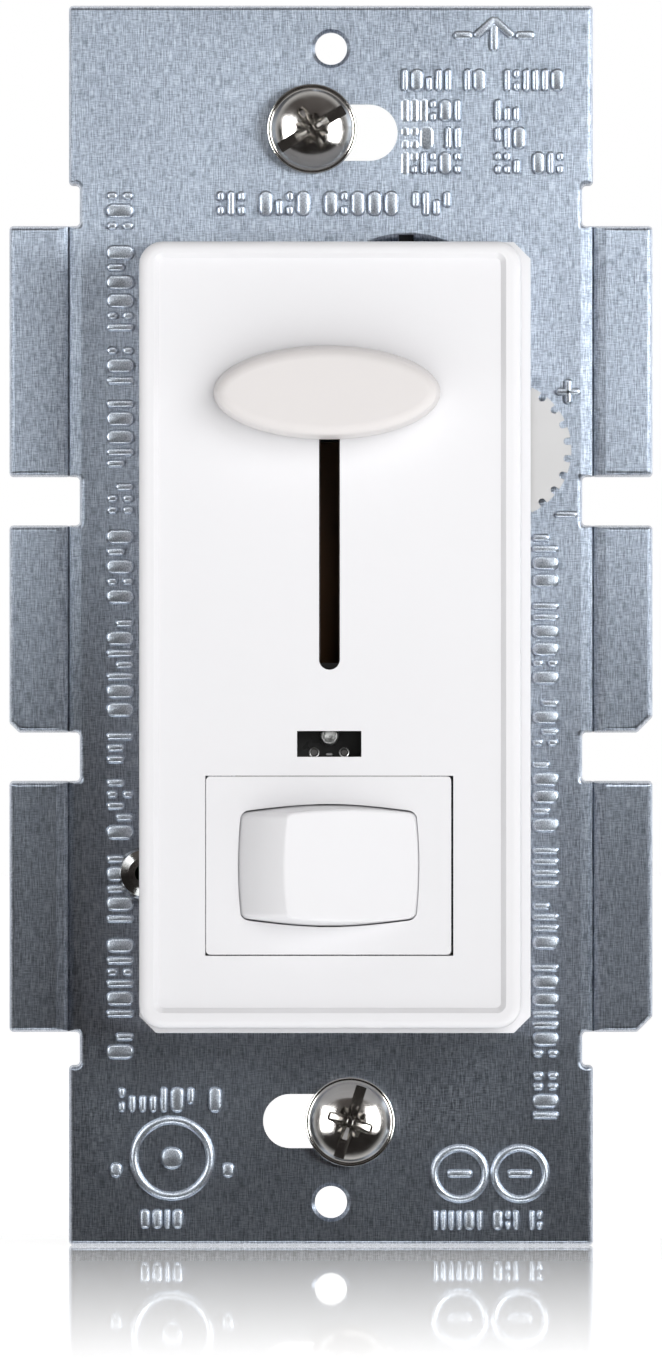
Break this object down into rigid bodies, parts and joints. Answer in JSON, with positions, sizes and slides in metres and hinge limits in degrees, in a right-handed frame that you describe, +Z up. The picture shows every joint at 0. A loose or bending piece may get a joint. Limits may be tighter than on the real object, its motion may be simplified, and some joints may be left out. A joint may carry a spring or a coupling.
{
  "type": "slide dimmer switch",
  "caption": "White wall dimmer with an oval slide knob, a rocker switch, a small indicator window and a trim wheel, on an aluminium mounting strap with snap-off fins.",
  "frame": {"origin": "midway between the two wall-plate holes, and between the two box screws, on the back face of the mounting strap, which rests on the wall box", "axes": "+Z up along the strap, +X to the right as seen from the room, -Y out of the wall towards the room"},
  "size_m": [0.054, 0.0383, 0.104],
  "materials": {
    "aluminium": "rolled and brushed along its length",
    "face_white": "moulded gloss",
    "knob_white": "moulded satin gloss",
    "wheel_grey": "moulded satin",
    "nickel": "bright nickel plate",
    "steel": "plain",
    "zinc_steel": "zinc plate",
    "black_steel": "black oxide",
    "green_steel": "green dye",
    "tinned": "tinned",
    "brass": "plain",
    "copper": "enamelled wire",
    "fibre_black": "matt",
    "fibre_red": "matt vulcanised fibre",
    "nylon_black": "moulded matt",
    "housing_black": "moulded, finely textured",
    "board_black": "solder mask",
    "board_green": "solder mask",
    "phenolic": "paper phenolic",
    "clear_resin": "clear",
    "epoxy_black": "moulded matt",
    "pad_grey": "thermal pad",
    "ferrite": "sintered",
    "capacitor_yellow": "moulded case",
    "capacitor_red": "dipped",
    "capacitor_sleeve": "shrink sleeve",
    "resistor_tan": "lacquered"
  },
  "bodies": {
    "strap_assembly": {"mounting_strap": "aluminium", "face_base": "face_white", "face_cover": "face_white", "insulating_sheet": "fibre_black", "slide_pot_frame": "steel", "slide_pot_track": "phenolic", "indicator_board": "board_black", "indicator_led": "clear_resin", "indicator_pins": "tinned", "rocker_frame": "face_white", "switch_centre_terminal": "brass", "switch_end_terminals": "brass", "trim_pot_body": "nylon_black", "ground_rivet": "nickel", "triac_rivet": "nickel", "rear_housing": "housing_black", "housing_screws": "zinc_steel", "common_plate": "brass", "traveler_plates": "brass", "ground_bracket": "zinc_steel", "main_board": "board_green", "triac": "epoxy_black", "triac_pad": "pad_grey", "choke_core": "ferrite", "choke_winding": "copper", "filter_capacitor": "capacitor_yellow", "timing_capacitor": "capacitor_red", "supply_capacitor": "capacitor_sleeve", "resistors": "resistor_tan", "diodes": "epoxy_black", "control_chip": "epoxy_black"},
    "slider": {"slider_knob": "knob_white", "slide_pot_carriage": "nylon_black", "slide_pot_lever": "steel", "slide_pot_wiper": "brass"},
    "rocker": {"rocker_paddle": "face_white", "switch_plunger": "brass", "plunger_spring": "steel"},
    "contact_blade": {"switch_blade": "brass"},
    "trim": {"range_wheel": "wheel_grey", "trim_pot_rotor": "wheel_grey"},
    "top_washer": {"screw_washer_top": "fibre_red"},
    "top_screw": {"box_screw_top": "nickel"},
    "bottom_washer": {"screw_washer_bottom": "fibre_red"},
    "bottom_screw": {"box_screw_bottom": "nickel"},
    "common_terminal_screw": {"common_screw": "black_steel"},
    "upper_terminal_screw": {"traveler_screw_upper": "brass"},
    "lower_terminal_screw": {"traveler_screw_lower": "brass"},
    "ground_terminal_screw": {"ground_screw": "green_steel"}
  },
  "joints": [
    {"name": "slider_travel", "type": "slide", "parent": "strap_assembly", "child": "slider", "axis": [0, 0, -1], "range_m": [0, 0.02]},
    {"name": "rocker_tilt", "type": "hinge", "parent": "strap_assembly", "child": "rocker", "pos_m": [-0.0002, -0.0022, -0.0201], "axis": [0, 0, -1], "range_deg": [0, 32]},
    {"name": "contact_tilt", "type": "hinge", "parent": "strap_assembly", "child": "contact_blade", "pos_m": [-0.0002, 0.005, -0.0201], "axis": [0, 0, 1], "range_deg": [0, 18]},
    {"name": "trim_turn", "type": "hinge", "parent": "strap_assembly", "child": "trim", "pos_m": [0.01435, -0.0024, 0.0147], "axis": [0, -1, 0], "range_deg": [-135, 135]},
    {"name": "top_screw_shift", "type": "slide", "parent": "strap_assembly", "child": "top_washer", "axis": [1, 0, 0], "range_m": [-0.0017, 0.0053]},
    {"name": "top_screw_turn", "type": "hinge", "parent": "top_washer", "child": "top_screw", "pos_m": [-0.0016, 0.0005, 0.04165], "axis": [0, -1, 0], "continuous": true},
    {"name": "bottom_screw_shift", "type": "slide", "parent": "strap_assembly", "child": "bottom_washer", "axis": [1, 0, 0], "range_m": [-0.0053, 0.0017]},
    {"name": "bottom_screw_turn", "type": "hinge", "parent": "bottom_washer", "child": "bottom_screw", "pos_m": [0.0016, 0.0005, -0.04165], "axis": [0, -1, 0], "continuous": true},
    {"name": "common_screw_turn", "type": "hinge", "parent": "strap_assembly", "child": "common_terminal_screw", "pos_m": [-0.018, 0.0208, 0.012], "axis": [-1, 0, 0], "continuous": true},
    {"name": "upper_screw_turn", "type": "hinge", "parent": "strap_assembly", "child": "upper_terminal_screw", "pos_m": [0.018, 0.0208, 0.012], "axis": [1, 0, 0], "continuous": true},
    {"name": "lower_screw_turn", "type": "hinge", "parent": "strap_assembly", "child": "lower_terminal_screw", "pos_m": [0.018, 0.0208, -0.012], "axis": [1, 0, 0], "continuous": true},
    {"name": "ground_screw_turn", "type": "hinge", "parent": "strap_assembly", "child": "ground_terminal_screw", "pos_m": [-0.018, 0.0208, -0.024], "axis": [-1, 0, 0], "continuous": true}
  ],
  "couplings": [
    {"joint": "contact_tilt", "follows": "rocker_tilt", "ratio": 0.5625}
  ]
}
